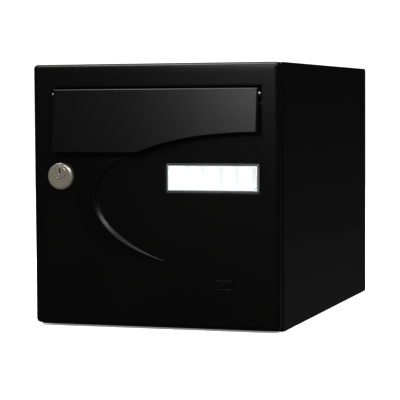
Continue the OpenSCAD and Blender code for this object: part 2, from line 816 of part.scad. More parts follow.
// Thin plates that the key lines up with the plug's edge
module lock_wafers() {
    half = sqrt(plug_r * plug_r - wafer_w * wafer_w / 4) - wafer_gap;
    key_half = key_w / 2 + seat_gap;
    color(brass)
        for (i = [0:wafer_count - 1])
            translate([lock_x, wafer_y + i * wafer_pitch, plug_z]) difference() {
                block([-wafer_w / 2, 0, -half], [wafer_w / 2, wafer_t, half]);
                block([-key_half, -past, key_up - key_h / 2], [key_half, wafer_t + past, half - wafer_bar]);
            }
}

module lock_cam() {
    tip_z = cam_end_r - cam_reach;
    color(zinc) along_y(cam_front, cam_back) translate([lock_x, plug_z]) difference() {
        union() {
            circle(r = cam_r);
            translate([-cam_end_r, tip_z]) square([2 * cam_end_r, -tip_z]);
            translate([0, tip_z]) circle(r = cam_end_r);
        }
        square(plug_square + 2 * running, center = true);
    }
}

module cam_washer() {
    color(zinc) difference() {
        bar_y(lock_x, plug_z, washer_r, cam_back, cam_back + washer_t);
        bar_y(lock_x, plug_z, screw_r + 2 * running, cam_back - past, cam_back + washer_t + past);
    }
}

module cam_screw() {
    head_y = cam_back + washer_t;
    color(zinc) difference() {
        union() {
            bar_y(lock_x, plug_z, screw_r, cam_back - screw_l, head_y);
            bar_y(lock_x, plug_z, head_r, head_y, head_y + head_h);
        }
        along_y(head_y + head_h - cross_deep, head_y + head_h + past) translate([lock_x, plug_z]) {
            square([cross_l, cross_w], center = true);
            square([cross_w, cross_l], center = true);
        }
    }
}

// The cam's strike, welded behind the collar's left flange
module lock_strike() {
    color(black)
        block([-opening_w / 2 - collar_t - collar_flange, strike_back - strike_t, plug_z - strike_half],
              [-opening_w / 2 - strike_inset, strike_back, plug_z + strike_half]);
}

casing_wrap();
left_side_panel();
right_side_panel();
door_frame_collar();
upper_hinge_frame_leaf();
lower_hinge_frame_leaf();
upper_hinge_pin();
lower_hinge_pin();
lock_strike();
door_panel();
upper_hinge_door_leaf();
lower_hinge_door_leaf();
flap_bracket_left();
flap_bracket_right();
flap_rod();
flap_rod_clips();
flap_spring_left();
flap_spring_right();
flap_buffers();
door_bumpers();
name_window();
name_card();
name_card_holder();
lock_housing();
lock_gasket();
lock_nut();
flap_plate();
lock_plug();
lock_wafers();
lock_cam();
cam_washer();
cam_screw();
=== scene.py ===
"""Looks for the wall mounted mailbox: fine meshes, materials, studio and camera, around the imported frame."""
import json
import math

import bmesh
import bpy
import numpy as np
from mathutils import Matrix, Vector
from mathutils.geometry import delaunay_2d_cdt


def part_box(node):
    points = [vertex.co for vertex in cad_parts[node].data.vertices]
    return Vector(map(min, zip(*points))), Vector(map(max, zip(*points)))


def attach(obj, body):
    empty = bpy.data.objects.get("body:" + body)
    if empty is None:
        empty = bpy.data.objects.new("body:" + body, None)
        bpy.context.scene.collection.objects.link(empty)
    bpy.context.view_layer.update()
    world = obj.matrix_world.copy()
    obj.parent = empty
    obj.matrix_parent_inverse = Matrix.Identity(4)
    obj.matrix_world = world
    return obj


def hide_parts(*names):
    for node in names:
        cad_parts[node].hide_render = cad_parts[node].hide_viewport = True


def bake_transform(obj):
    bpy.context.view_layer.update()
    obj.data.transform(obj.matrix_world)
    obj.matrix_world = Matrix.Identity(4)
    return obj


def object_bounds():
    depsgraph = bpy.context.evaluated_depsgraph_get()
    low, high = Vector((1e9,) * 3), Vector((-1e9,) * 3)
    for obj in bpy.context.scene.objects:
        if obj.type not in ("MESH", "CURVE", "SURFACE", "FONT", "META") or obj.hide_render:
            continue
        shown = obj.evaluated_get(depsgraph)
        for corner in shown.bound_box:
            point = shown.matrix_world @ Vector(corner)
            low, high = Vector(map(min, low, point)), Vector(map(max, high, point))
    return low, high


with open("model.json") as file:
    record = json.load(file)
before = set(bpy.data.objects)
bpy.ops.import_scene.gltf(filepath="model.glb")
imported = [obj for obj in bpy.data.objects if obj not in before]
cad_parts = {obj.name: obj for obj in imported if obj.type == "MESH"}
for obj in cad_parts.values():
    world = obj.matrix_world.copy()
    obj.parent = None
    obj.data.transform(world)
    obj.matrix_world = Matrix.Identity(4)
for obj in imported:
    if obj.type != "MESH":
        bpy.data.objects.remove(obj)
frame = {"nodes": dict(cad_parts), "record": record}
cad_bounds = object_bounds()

MM = 0.001

# ---------- places taken from the frame ----------

door_low, door_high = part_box("door_panel")
gasket_low, gasket_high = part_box("lock_gasket")
window_low, window_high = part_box("name_window")
card_low, card_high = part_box("name_card")
rod_low, rod_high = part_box("flap_rod")
plug_low, plug_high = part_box("lock_plug")
rose_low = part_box("lock_housing")[0]

FACE_Y = gasket_high.y                       # the door's flat front
RIM_Y = door_high.y                          # back edge of the door's rim
ROD = (rod_low + rod_high) / 2               # middle of the flap's rod
PLUG = (plug_low + plug_high) / 2
ROSE = Vector(((gasket_low.x + gasket_high.x) / 2, rose_low.y, (gasket_low.z + gasket_high.z) / 2))
ROW_Z = ROSE.z                               # the crescent is set out from the rose's height

# ---------- sizes of the pressed door ----------

DOOR_T = 1.2 * MM
DOOR_R = 4.5 * MM            # rounding of the door's front edges
DOOR_STEP = 4 * MM           # spacing of points along the door's outline and rim
DOOR_GRID = 6 * MM           # spacing of points on the flat of the door
BAND_GAP = 2.2 * MM          # the flat's points keep this far from the crescent's rows
LOOP_GAP = 2 * MM            # and this far from the outline and the holes
ARC_STEPS = 8
SOFT_EDGE = 0.25 * MM
CUT_R = 0.8 * MM             # corners of the slot's and the window's cut-outs
SLOT_HALF = 115 * MM
CUT_HALF = 118.4 * MM
SLOT_BELOW = 35.2 * MM       # bottom of the slot, below the rod
SHOULDER_BELOW = 7.2 * MM    # where the cut-out widens, below the rod
CUT_ABOVE = 8.3 * MM         # top of the cut-out, above the rod
HOLE_CLEAR = 0.2 * MM
BARREL_R = 9.55 * MM
PLUG_UP = 4.4 * MM
# the crest's Bezier points, from the middle of the door and the rose's height
CREST_GUIDE = [Vector(p) * MM for p in ((-32.7, 21.4), (-88.8, -1.1), (-86.8, -64.2), (11.3, -91.8))]
CREST_H = 3.9 * MM
CREST_SLOPE = 24 * MM        # width of the long outer slope at the crescent's middle
CREST_WALL = 5.5 * MM        # width of the steep inner wall there
EMBLEM_X, EMBLEM_Z = 79.5 * MM, -94.7 * MM
EMBLEM_HALF_W, EMBLEM_HALF_H = 9.5 * MM, 5.32 * MM
EMBLEM_BAR = 1.1 * MM
EMBLEM_OUT = 0.38 * MM
EMBLEM_DIP = 0.53 * MM       # how low the envelope's fold comes below its middle
EMBLEM_SOFT = 0.22 * MM
WINDOW_R = 2.2 * MM          # corners of the clear cap, and of its front's edge and middle
WINDOW_LIP_R = 0.9 * MM
WINDOW_SUNK_R = 0.7 * MM
WINDOW_ROUND = 0.8 * MM      # rounding of the window's front edge
WINDOW_LIP = 1.7 * MM        # from the window's edge to its slightly sunk front
WINDOW_SUNK = 0.2 * MM
CARD_CLEAR = 0.2 * MM
POCKET_R = 0.3 * MM
SKIRT_R = 0.5 * MM
SKIRT = 1.0 * MM             # from the card's edge to the outside of the window's skirt
ROD_R = 1.5 * MM
SPRING_WIRE = 0.8 * MM
SPRING_TURNS = 5
SPRING_START = 112.8 * MM
SPRING_GAP = 0.12 * MM       # between turns
SPRING_CLEAR = 0.2 * MM      # between the rod and the coil
SPRING_BEND = 0.6 * MM
SPRING_FOOT = 4 * MM
SPRING_TIP = (-3.05 * MM, 4.6 * MM)
FLAP_TILT = math.radians(-7)


# ---------- mesh helpers ----------

def new_object(name, mesh, body, material):
    obj = bpy.data.objects.new(name, mesh)
    bpy.context.scene.collection.objects.link(obj)
    mesh.materials.clear()
    mesh.materials.append(material)
    if body:
        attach(obj, body)
    return obj


def smooth(mesh, angle):
    mesh.polygons.foreach_set("use_smooth", [True] * len(mesh.polygons))
    mesh.set_sharp_from_angle(angle=math.radians(angle))


def finish_mesh(bm, name, smooth_angle=35):
    mesh = bpy.data.meshes.new(name)
    bm.to_mesh(mesh)
    bm.free()
    smooth(mesh, smooth_angle)
    return mesh


def join_rings(bm, rings):
    """Faces between each closed ring of vertices and the next."""
    for a, b in zip(rings, rings[1:]):
        for i in range(len(a)):
            j = (i + 1) % len(a)
            bm.faces.new((a[i], a[j], b[j], b[i]))


def apply_modifiers(obj):
    depsgraph = bpy.context.evaluated_depsgraph_get()
    mesh = bpy.data.meshes.new_from_object(obj.evaluated_get(depsgraph))
    obj.modifiers.clear()
    obj.data = mesh


def spaced(a, b, step):
    """Points from a up to but not including b, about step apart."""
    n = max(1, round((b - a).length / step))
    return [a.lerp(b, i / n) for i in range(n)]


def ring_of(corners, step):
    """A closed loop of points along straight sides."""
    return [p for a, b in zip(corners, corners[1:] + corners[:1]) for p in spaced(a, b, step)]


def round_corners(corners, r, steps=4):
    """A closed polygon with each corner replaced by a short arc."""
    out = []
    for before, here, after in zip(corners[-1:] + corners[:-1], corners, corners[1:] + corners[:1]):
        a = here + (before - here).normalized() * r
        b = here + (after - here).normalized() * r
        for i in range(steps + 1):
            t = i / steps
            out.append(a.lerp(here, t).lerp(here.lerp(b, t), t))
    return out


def inside(p, polygon):
    hit = False
    for a, b in zip(polygon, polygon[1:] + polygon[:1]):
        if (a.y > p.y) != (b.y > p.y) and p.x < (b.x - a.x) * (p.y - a.y) / (b.y - a.y) + a.x:
            hit = not hit
    return hit


# ---------- the crescent pressed in the door ----------

def crest(t):
    g = CREST_GUIDE
    p = g[0] * (1 - t) ** 3 + g[1] * 3 * (1 - t) ** 2 * t + g[2] * 3 * (1 - t) * t * t + g[3] * t ** 3
    return p + Vector((0, ROW_Z))


def crest_out(t):
    d = (crest(t + 0.005) - crest(t - 0.005)).normalized()
    return Vector((d.y, -d.x))


def swell(t):
    """Share of the crescent's full size at t: 0 at its ends, 1 at its middle."""
    return max(math.sin(math.pi * t), 0) ** 0.8


CREST_TS = np.linspace(0, 1, 321)
CREST_LINE = np.array([crest(t) for t in CREST_TS])


def crest_place(p):
    """(t, signed distance) of a point from the crest line; the distance is positive outside the crescent."""
    gap = CREST_LINE - np.array(p)
    i = int(np.argmin((gap ** 2).sum(1)))
    t = float(CREST_TS[i])
    return t, (Vector(p) - crest(t)).dot(crest_out(t))


def relief(p):
    """How far the door's face stands out at a point."""
    t, s = crest_place(p)
    k = swell(t)
    if k < 1e-4:
        return 0.0
    if s >= 0:
        u = min(s / (CREST_SLOPE * k), 1)
        return CREST_H * k * (1 - u) ** 2 * (1 + 0.6 * u)
    u = max(1 + s / (CREST_WALL * k), 0)
    return CREST_H * k * u * u * (3 - 2 * u)


def crest_points():
    """Points that follow the crescent closely: rows along its crest, from the inner foot outwards."""
    walls = [-1.15, -1, -0.88, -0.75, -0.6, -0.45, -0.3, -0.18, -0.08]
    slopes = [0, 0.04, 0.09, 0.15, 0.22, 0.31, 0.42, 0.55, 0.7, 0.85, 1.0]
    points = []
    for t in np.linspace(0.012, 0.988, 96):
        k, p, n = swell(t), crest(t), crest_out(t)
        points += [p + n * (s * CREST_WALL * k) for s in walls]
        points += [p + n * (s * CREST_SLOPE * k) for s in slopes]
    return points


# ---------- door shell ----------

def door_holes():
    slot = [(-SLOT_HALF, -SLOT_BELOW), (SLOT_HALF, -SLOT_BELOW), (SLOT_HALF, -SHOULDER_BELOW),
            (CUT_HALF, -SHOULDER_BELOW), (CUT_HALF, CUT_ABOVE), (-CUT_HALF, CUT_ABOVE),
            (-CUT_HALF, -SHOULDER_BELOW), (-SLOT_HALF, -SHOULDER_BELOW)]
    slot = round_corners([Vector((ROD.x + x, ROD.z + z)) for x, z in slot], CUT_R)
    w = (card_high.x - card_low.x) / 2 + SKIRT + HOLE_CLEAR
    h = (card_high.z - card_low.z) / 2 + SKIRT + HOLE_CLEAR
    mid = Vector(((card_low.x + card_high.x) / 2, (card_low.z + card_high.z) / 2))
    window = round_corners([mid + Vector(c) for c in ((-w, -h), (w, -h), (w, h), (-w, h))], CUT_R)
    barrel = Vector((ROSE.x, ROSE.z + PLUG_UP / 2))
    turns = [2 * math.pi * i / 64 for i in range(64)]
    lock = [barrel + BARREL_R * Vector((math.cos(a), math.sin(a))) for a in turns]
    return [ring_of(slot, 5 * MM), ring_of(window, 4 * MM), lock]


def door_rings():
    """The flat's corners, and loops from it round the edge and back along the rim: (points in XZ, y)."""
    low = Vector((door_low.x + DOOR_R, door_low.z + DOOR_R))
    high = Vector((door_high.x - DOOR_R, door_high.z - DOOR_R))
    corners = [low, Vector((high.x, low.y)), high, Vector((low.x, high.y))]

    def loop(offset):
        out = []
        for i, here in enumerate(corners):
            after = corners[(i + 1) % 4]
            start = math.radians(90 * i - 180)
            for j in range(ARC_STEPS + 1):
                a = start + math.radians(90) * j / ARC_STEPS
                out.append(here + offset * Vector((math.cos(a), math.sin(a))))
            push = out[-1] - here
            out += [p + push for p in spaced(here, after, DOOR_STEP)[1:]]
        return out

    rings = []
    for j in range(ARC_STEPS + 1):
        a = math.radians(90) * j / ARC_STEPS
        rings.append((loop(DOOR_R * math.sin(a)), FACE_Y + DOOR_R * (1 - math.cos(a))))
    rings.append((loop(DOOR_R), RIM_Y))
    return corners, rings


def door_points(corners, holes):
    """Points of the door's flat and crescent, and the edges of its outline and holes."""
    points, edges = [], []
    for loop in [ring_of(corners, DOOR_STEP)] + holes:
        first = len(points)
        points += loop
        edges += [(first + i, first + (i + 1) % len(loop)) for i in range(len(loop))]
    loops = np.array(points)
    rows = crest_points()
    band = np.array(rows)
    points += rows
    low, high = corners[0], corners[2]
    nx = int((high.x - low.x) / DOOR_GRID)
    nz = int((high.y - low.y) / DOOR_GRID)
    for i in range(1, nx):
        for j in range(1, nz):
            p = Vector((low.x + (high.x - low.x) * i / nx, low.y + (high.y - low.y) * j / nz))
            if ((band - np.array(p)) ** 2).sum(1).min() < BAND_GAP ** 2:
                continue
            if ((loops - np.array(p)) ** 2).sum(1).min() < LOOP_GAP ** 2:
                continue
            points.append(p)
    return points, edges


def door_shell(material):
    """The pressed tray: one skin with the crescent and the rounded rim, thickened to the sheet."""
    corners, rings = door_rings()
    holes = door_holes()
    points, edges = door_points(corners, holes)
    verts, _, faces, *_ = delaunay_2d_cdt(points, edges, [], 0, 1e-7)
    bm = bmesh.new()
    made = [bm.verts.new((v.x, FACE_Y - relief(v), v.y)) for v in verts]
    for f in faces:
        middle = sum((verts[i] for i in f), Vector((0, 0))) / len(f)
        if any(inside(middle, hole) for hole in holes):
            continue
        bm.faces.new([made[i] for i in f])
    loose = [v for v in bm.verts if not v.link_faces]
    bmesh.ops.delete(bm, geom=loose, context="VERTS")
    join_rings(bm, [[bm.verts.new((p.x, y, p.y)) for p in loop] for loop, y in rings])
    bmesh.ops.remove_doubles(bm, verts=bm.verts, dist=1e-6)
    bmesh.ops.dissolve_degenerate(bm, dist=1e-7, edges=bm.edges)
    bmesh.ops.recalc_face_normals(bm, faces=bm.faces)
    face = min(bm.faces, key=lambda f: (f.calc_center_median() - Vector((0, FACE_Y, 0))).length)
    if face.normal.y > 0:
        bmesh.ops.reverse_faces(bm, faces=bm.faces)
    obj = new_object("door_shell", finish_mesh(bm, "door_shell"), "door", material)
    thick = obj.modifiers.new("sheet", "SOLIDIFY")
    thick.thickness = DOOR_T
    thick.offset = -1
    soft = obj.modifiers.new("soft_edges", "BEVEL")
    soft.width = SOFT_EDGE
    soft.segments = 2
    soft.limit_method = "ANGLE"
    soft.angle_limit = math.radians(50)
    apply_modifiers(obj)
    smooth(obj.data, 40)
    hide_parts("door_panel")
    return obj


# ---------- emblem, window and springs ----------

def door_emblem(material):
    """Outline of a sealed envelope, raised on the door, as bars with softened edges."""
    half_w, half_h, bar = EMBLEM_HALF_W, EMBLEM_HALF_H, EMBLEM_BAR / 2
    inner_w, inner_h = half_w - bar, half_h - bar
    frame_corners = [(-inner_w, -inner_h), (inner_w, -inner_h), (inner_w, inner_h), (-inner_w, inner_h)]
    runs = list(zip(frame_corners, frame_corners[1:] + frame_corners[:1]))
    runs += [((side * (inner_w - bar), inner_h - bar), (0, -EMBLEM_DIP)) for side in (-1, 1)]
    bm = bmesh.new()
    for a, b in runs:
        a, b = Vector(a), Vector(b)
        along = (b - a).normalized()
        across = Vector((-along.y, along.x)) * bar
        ends = [a - along * bar, b + along * bar]
        base = [ends[0] - across, ends[1] - across, ends[1] + across, ends[0] + across]
        low = [bm.verts.new((EMBLEM_X + p.x, FACE_Y + DOOR_T / 3, EMBLEM_Z + p.y)) for p in base]
        high = [bm.verts.new((EMBLEM_X + p.x, FACE_Y - EMBLEM_OUT, EMBLEM_Z + p.y)) for p in base]
        bm.faces.new(high)
        bm.faces.new(low[::-1])
        join_rings(bm, [low, high])
    bmesh.ops.recalc_face_normals(bm, faces=bm.faces)
    obj = new_object("door_emblem", finish_mesh(bm, "door_emblem"), "door", material)
    soft = obj.modifiers.new("soft_edges", "BEVEL")
    soft.width = EMBLEM_SOFT
    soft.segments = 3
    apply_modifiers(obj)
    smooth(obj.data, 40)
    return obj


def rounded_rect(half_w, half_h, r, steps=6):
    out = []
    for i, (x, z) in enumerate(((-1, -1), (1, -1), (1, 1), (-1, 1))):
        centre = Vector((x * (half_w - r), z * (half_h - r)))
        for j in range(steps + 1):
            a = math.radians(90 * i - 180) + math.radians(90) * j / steps
            out.append(centre + r * Vector((math.cos(a), math.sin(a))))
    return out


def clear_window(material, rim_painted_light_material):
    """Clear cap: a rounded rim, a slightly sunk front, and a skirt round the card's pocket."""
    mid = (window_low + window_high) / 2
    half_w = (window_high.x - window_low.x) / 2
    half_h = (window_high.z - window_low.z) / 2
    card_w, card_h = (card_high.x - card_low.x) / 2, (card_high.z - card_low.z) / 2
    front, back, card_y = window_low.y, window_high.y, card_low.y
    # each ring: half width, half height, corner radius, y; from the pocket's floor round to the front
    rings = [(card_w + CARD_CLEAR, card_h + CARD_CLEAR, POCKET_R, card_y),
             (card_w + CARD_CLEAR, card_h + CARD_CLEAR, POCKET_R, back),
             (card_w + SKIRT, card_h + SKIRT, SKIRT_R, back),
             (card_w + SKIRT, card_h + SKIRT, SKIRT_R, FACE_Y),
             (half_w, half_h, WINDOW_R, FACE_Y), (half_w, half_h, WINDOW_R, front + WINDOW_ROUND)]
    steps = 5
    for i in range(1, steps + 1):
        a = math.radians(90) * i / steps
        cut = WINDOW_ROUND * (1 - math.cos(a))
        rings.append((half_w - cut, half_h - cut, WINDOW_R - 0.75 * cut,
                      front + WINDOW_ROUND * (1 - math.sin(a))))
    inner = WINDOW_LIP + 2 * WINDOW_SUNK
    rings += [(half_w - WINDOW_LIP, half_h - WINDOW_LIP, WINDOW_LIP_R, front),
              (half_w - inner, half_h - inner, WINDOW_SUNK_R, front + WINDOW_SUNK)]
    bm = bmesh.new()
    loops = [[bm.verts.new((mid.x + p.x, y, mid.z + p.y)) for p in rounded_rect(w, h, r)]
             for w, h, r, y in rings]
    join_rings(bm, loops)
    bm.faces.new(loops[0])
    bm.faces.new(loops[-1][::-1])
    bmesh.ops.recalc_face_normals(bm, faces=bm.faces)
    obj = new_object("window_cover", finish_mesh(bm, "window_cover", 30), "door", material)
    obj.data.materials.append(rim_painted_light_material)
    # the rim: what stands out of the door, without the flat front and the faces that look back; it gets the
    # rim material, whose opaque grey share is painted light
    for face in obj.data.polygons:
        if face.center.y < FACE_Y - 0.1 * MM and -0.97 < face.normal.y < 0.5:
            face.material_index = 1
    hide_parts("name_window")
    return obj


def tube(path, radius, sides=10):
    """A closed round tube along a path."""
    bm = bmesh.new()
    rings = []
    up = None
    for i, p in enumerate(path):
        along = (path[min(i + 1, len(path) - 1)] - path[max(i - 1, 0)]).normalized()
        up = (up - along * up.dot(along)).normalized() if up else along.orthogonal().normalized()
        side = along.cross(up)
        rings.append([bm.verts.new(p + radius * (math.cos(a) * up + math.sin(a) * side))
                      for a in (2 * math.pi * k / sides for k in range(sides))])
    join_rings(bm, rings)
    bm.faces.new(rings[0][::-1])
    bm.faces.new(rings[-1])
    bmesh.ops.recalc_face_normals(bm, faces=bm.faces)
    return bm


def bend(a, b, c, steps=5):
    """Points of a soft bend from a to c, with its corner at b."""
    return [a.lerp(b, t).lerp(b.lerp(c, t), t) for t in (i / steps for i in range(steps + 1))]


def flap_spring(name, node, side, material):
    """Torsion spring round the rod: a foot through the bracket, the turns, and a leg up behind the flap."""
    low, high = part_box(node)
    wire = SPRING_WIRE / 2
    coil_r = ROD_R + SPRING_CLEAR + wire
    outer = high.x if side > 0 else low.x
    start = ROD.x + side * SPRING_START
    pitch = SPRING_WIRE + SPRING_GAP
    turns = SPRING_TURNS + 0.25
    foot_y, foot_z = ROD.y + SPRING_FOOT, ROD.z - coil_r
    before = Vector((start + side * SPRING_BEND, foot_y, foot_z))
    path = [Vector((outer, foot_y, foot_z)), before]
    path += bend(before, Vector((start, foot_y, foot_z)), Vector((start, foot_y - SPRING_BEND, foot_z)))[1:]
    steps = 36 * SPRING_TURNS + 9
    for i in range(steps + 1):
        share = i / steps
        a = math.radians(-90 - 360 * turns * share)
        path.append(Vector((start - side * pitch * turns * share, ROD.y + coil_r * math.cos(a),
                            ROD.z + coil_r * math.sin(a))))
    last = path[-1]
    tip_y, tip_z = SPRING_TIP
    c, s = math.cos(FLAP_TILT), math.sin(FLAP_TILT)
    tip = Vector((last.x, ROD.y + tip_y * c - tip_z * s, ROD.z + tip_y * s + tip_z * c))
    path += [last.lerp(tip, t) for t in (0.35, 0.7, 1.0)]
    obj = new_object(name, finish_mesh(tube(path, wire), name, 60), None, material)
    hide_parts(node)
    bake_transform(obj)
    return obj


# ---------- materials ----------

EDGE_SAMPLES = 6
EDGE_DOTS = (0.995, 0.85)    # rounded normal against true normal: where an edge starts, and where it is full
GLOSS_IOR = 1.5
WINDOW_IOR = 1.45
# painted light: the card is given a glow, though it is no lamp
CARD_PAINTED_GLOW = 0.8              # the card is clipped to white in the photo
# painted light: share of opaque grey on the window's rim, standing in for light carried through the clear
# plastic
RIM_PAINTED_LIGHT = 0.4


def node_tree(name):
    mat = bpy.data.materials.new(name)
    mat.use_nodes = True
    tree = mat.node_tree
    tree.nodes.clear()
    out = tree.nodes.new("ShaderNodeOutputMaterial")
    shader = tree.nodes.new("ShaderNodeBsdfPrincipled")
    tree.links.new(shader.outputs[0], out.inputs[0])
    return mat, tree, shader


def noise(tree, scale, detail=3, stretch=None):
    """A noise texture on the object's own coordinates; scale counts features per metre."""
    coords = tree.nodes.new("ShaderNodeTexCoord")
    tex = tree.nodes.new("ShaderNodeTexNoise")
    tex.inputs["Scale"].default_value = scale
    tex.inputs["Detail"].default_value = detail
    source = coords.outputs["Object"]
    if stretch:
        mapping = tree.nodes.new("ShaderNodeMapping")
        mapping.inputs["Scale"].default_value = stretch
        tree.links.new(source, mapping.inputs["Vector"])
        source = mapping.outputs[0]
    tree.links.new(source, tex.inputs["Vector"])
    return tex.outputs["Fac"]


def ramp(tree, source, low, high, at=(0.3, 0.7)):
    node = tree.nodes.new("ShaderNodeValToRGB")
    node.color_ramp.elements[0].position = at[0]
    node.color_ramp.elements[1].position = at[1]
    node.color_ramp.elements[0].color = (*low, 1)
    node.color_ramp.elements[1].color = (*high, 1)
    tree.links.new(source, node.inputs[0])
    return node.outputs[0]


def spread(tree, source, low, high):
    node = tree.nodes.new("ShaderNodeMapRange")
    node.inputs["To Min"].default_value = low
    node.inputs["To Max"].default_value = high
    tree.links.new(source, node.inputs["Value"])
    return node.outputs[0]


def bump(tree, source, strength, depth, normal=None):
    node = tree.nodes.new("ShaderNodeBump")
    node.inputs["Strength"].default_value = strength
    node.inputs["Distance"].default_value = depth
    tree.links.new(source, node.inputs["Height"])
    if normal is not None:
        tree.links.new(normal, node.inputs["Normal"])
    return node.outputs[0]


def edge_mask(tree, radius):
    """A rounded-edge normal, and how far the true normal is from it: near 0 on flats, higher along edges."""
    bevel = tree.nodes.new("ShaderNodeBevel")
    bevel.samples = EDGE_SAMPLES
    bevel.inputs["Radius"].default_value = radius
    geometry = tree.nodes.new("ShaderNodeNewGeometry")
    dot = tree.nodes.new("ShaderNodeVectorMath")
    dot.operation = "DOT_PRODUCT"
    tree.links.new(bevel.outputs[0], dot.inputs[0])
    tree.links.new(geometry.outputs["Normal"], dot.inputs[1])
    mask = tree.nodes.new("ShaderNodeMapRange")
    mask.inputs["From Min"].default_value, mask.inputs["From Max"].default_value = EDGE_DOTS
    tree.links.new(dot.outputs["Value"], mask.inputs["Value"])
    return bevel.outputs[0], mask.outputs[0]


def mix(tree, mask, a, b):
    node = tree.nodes.new("ShaderNodeMix")
    node.data_type = "RGBA"
    for socket, value in (("A", a), ("B", b)):
        target = [s for s in node.inputs if s.name == socket and s.type == "RGBA"][0]
        if isinstance(value, tuple):
            target.default_value = (*value, 1)
        else:
            tree.links.new(value, target)
    tree.links.new(mask, node.inputs["Factor"])
    return [s for s in node.outputs if s.type == "RGBA"][0]


def powder_coat(name, shade, rough):
    """Satin black powder coat: fine orange peel, faint clouding, and edges a little lighter in colour."""
    mat, tree, shader = node_tree(name)
    rounded, edge = edge_mask(tree, 0.7 * MM)
    cloud = noise(tree, 9, 2)
    base = ramp(tree, cloud, tuple(0.85 * c for c in shade), tuple(1.15 * c for c in shade))
    lighter_edges = mix(tree, edge, base, tuple(2.2 * c for c in shade))
    tree.links.new(lighter_edges, shader.inputs["Base Color"])
    grain = noise(tree, 2600, 2)
    tree.links.new(spread(tree, grain, rough - 0.05, rough + 0.05), shader.inputs["Roughness"])
    peel = bump(tree, noise(tree, 620, 3), 0.22, 0.00006, rounded)
    fine = bump(tree, grain, 0.12, 0.00002, peel)
    tree.links.new(fine, shader.inputs["Normal"])
    shader.inputs["IOR"].default_value = GLOSS_IOR
    return mat


def plated(name, low, high, rough, stretch, metallic=1.0, scale=900):
    """Plated or brushed metal with a fine directional grain."""
    mat, tree, shader = node_tree(name)
    rounded, edge = edge_mask(tree, 0.3 * MM)
    grain = noise(tree, scale, 4, stretch)
    base = mix(tree, edge, ramp(tree, grain, low, high), tuple(min(1.15 * c, 1) for c in high))
    tree.links.new(base, shader.inputs["Base Color"])
    tree.links.new(spread(tree, grain, rough - 0.08, rough + 0.08), shader.inputs["Roughness"])
    tree.links.new(bump(tree, grain, 0.25, 0.00002, rounded), shader.inputs["Normal"])
    shader.inputs["Metallic"].default_value = metallic
    return mat


def moulded(name, shade, rough, grain_scale=1500):
    """Moulded rubber or plastic with a fine texture."""
    mat, tree, shader = node_tree(name)
    rounded, edge = edge_mask(tree, 0.4 * MM)
    grain = noise(tree, grain_scale, 3)
    base = ramp(tree, grain, tuple(0.8 * c for c in shade), tuple(1.2 * c for c in shade))
    tree.links.new(mix(tree, edge, base, tuple(1.8 * c for c in shade)), shader.inputs["Base Color"])
    tree.links.new(spread(tree, grain, rough - 0.07, rough + 0.07), shader.inputs["Roughness"])
    tree.links.new(bump(tree, grain, 0.3, 0.00003, rounded), shader.inputs["Normal"])
    return mat


def paper(name):
    """White card: faint fibres, a dry surface, and a painted glow, though it is no lamp."""
    mat, tree, shader = node_tree(name)
    fibres = noise(tree, 420, 5, (1, 1, 3))
    tree.links.new(ramp(tree, fibres, (0.93, 0.93, 0.92), (0.99, 0.99, 0.985)), shader.inputs["Base Color"])
    # painted light: the card glows, though it is no lamp, so it stays white
    shader.inputs["Emission Color"].default_value = (1, 1, 0.99, 1)
    shader.inputs["Emission Strength"].default_value = CARD_PAINTED_GLOW
    tree.links.new(spread(tree, fibres, 0.8, 0.95), shader.inputs["Roughness"])
    tree.links.new(bump(tree, fibres, 0.15, 0.00003), shader.inputs["Normal"])
    return mat


def clear_plastic(name, painted_light=None):
    """Clear window plastic: light goes straight through, gloss shows in rub marks, and along bevels a share of
    opaque grey is mixed in as a painted highlight.

    With a fixed share given, that much opaque grey is mixed in everywhere instead, as painted light on the
    window's rim.
    """
    mat, tree, shader = node_tree(name)
    haze = noise(tree, 300, 4, (1, 1, 8))
    rounded, edge = edge_mask(tree, 0.6 * MM)
    tree.links.new(spread(tree, haze, 0.06, 0.16), shader.inputs["Roughness"])
    tree.links.new(ramp(tree, haze, (0.46, 0.47, 0.48), (0.54, 0.55, 0.56)), shader.inputs["Base Color"])
    tree.links.new(bump(tree, haze, 0.05, 0.00002, rounded), shader.inputs["Normal"])
    clear = tree.nodes.new("ShaderNodeBsdfTransparent")
    clear.inputs["Color"].default_value = (0.97, 0.98, 0.98, 1)
    facing = tree.nodes.new("ShaderNodeFresnel")
    facing.inputs["IOR"].default_value = WINDOW_IOR
    # painted highlight: edges raise the share of opaque grey, so the bevels look lit
    edges = tree.nodes.new("ShaderNodeMath")
    edges.operation = "MULTIPLY_ADD"
    edges.use_clamp = True
    edges.inputs[1].default_value = 0.75
    tree.links.new(edge, edges.inputs[0])
    tree.links.new(facing.outputs[0], edges.inputs[2])
    blend = tree.nodes.new("ShaderNodeMixShader")
    # painted light: with a fixed share, opaque grey is mixed in everywhere
    if painted_light:
        blend.inputs[0].default_value = painted_light
    else:
        tree.links.new(edges.outputs[0], blend.inputs[0])
    tree.links.new(clear.outputs[0], blend.inputs[1])
    tree.links.new(shader.outputs[0], blend.inputs[2])
    out = next(n for n in tree.nodes if n.type == "OUTPUT_MATERIAL")
    tree.links.new(blend.outputs[0], out.inputs[0])
    return mat


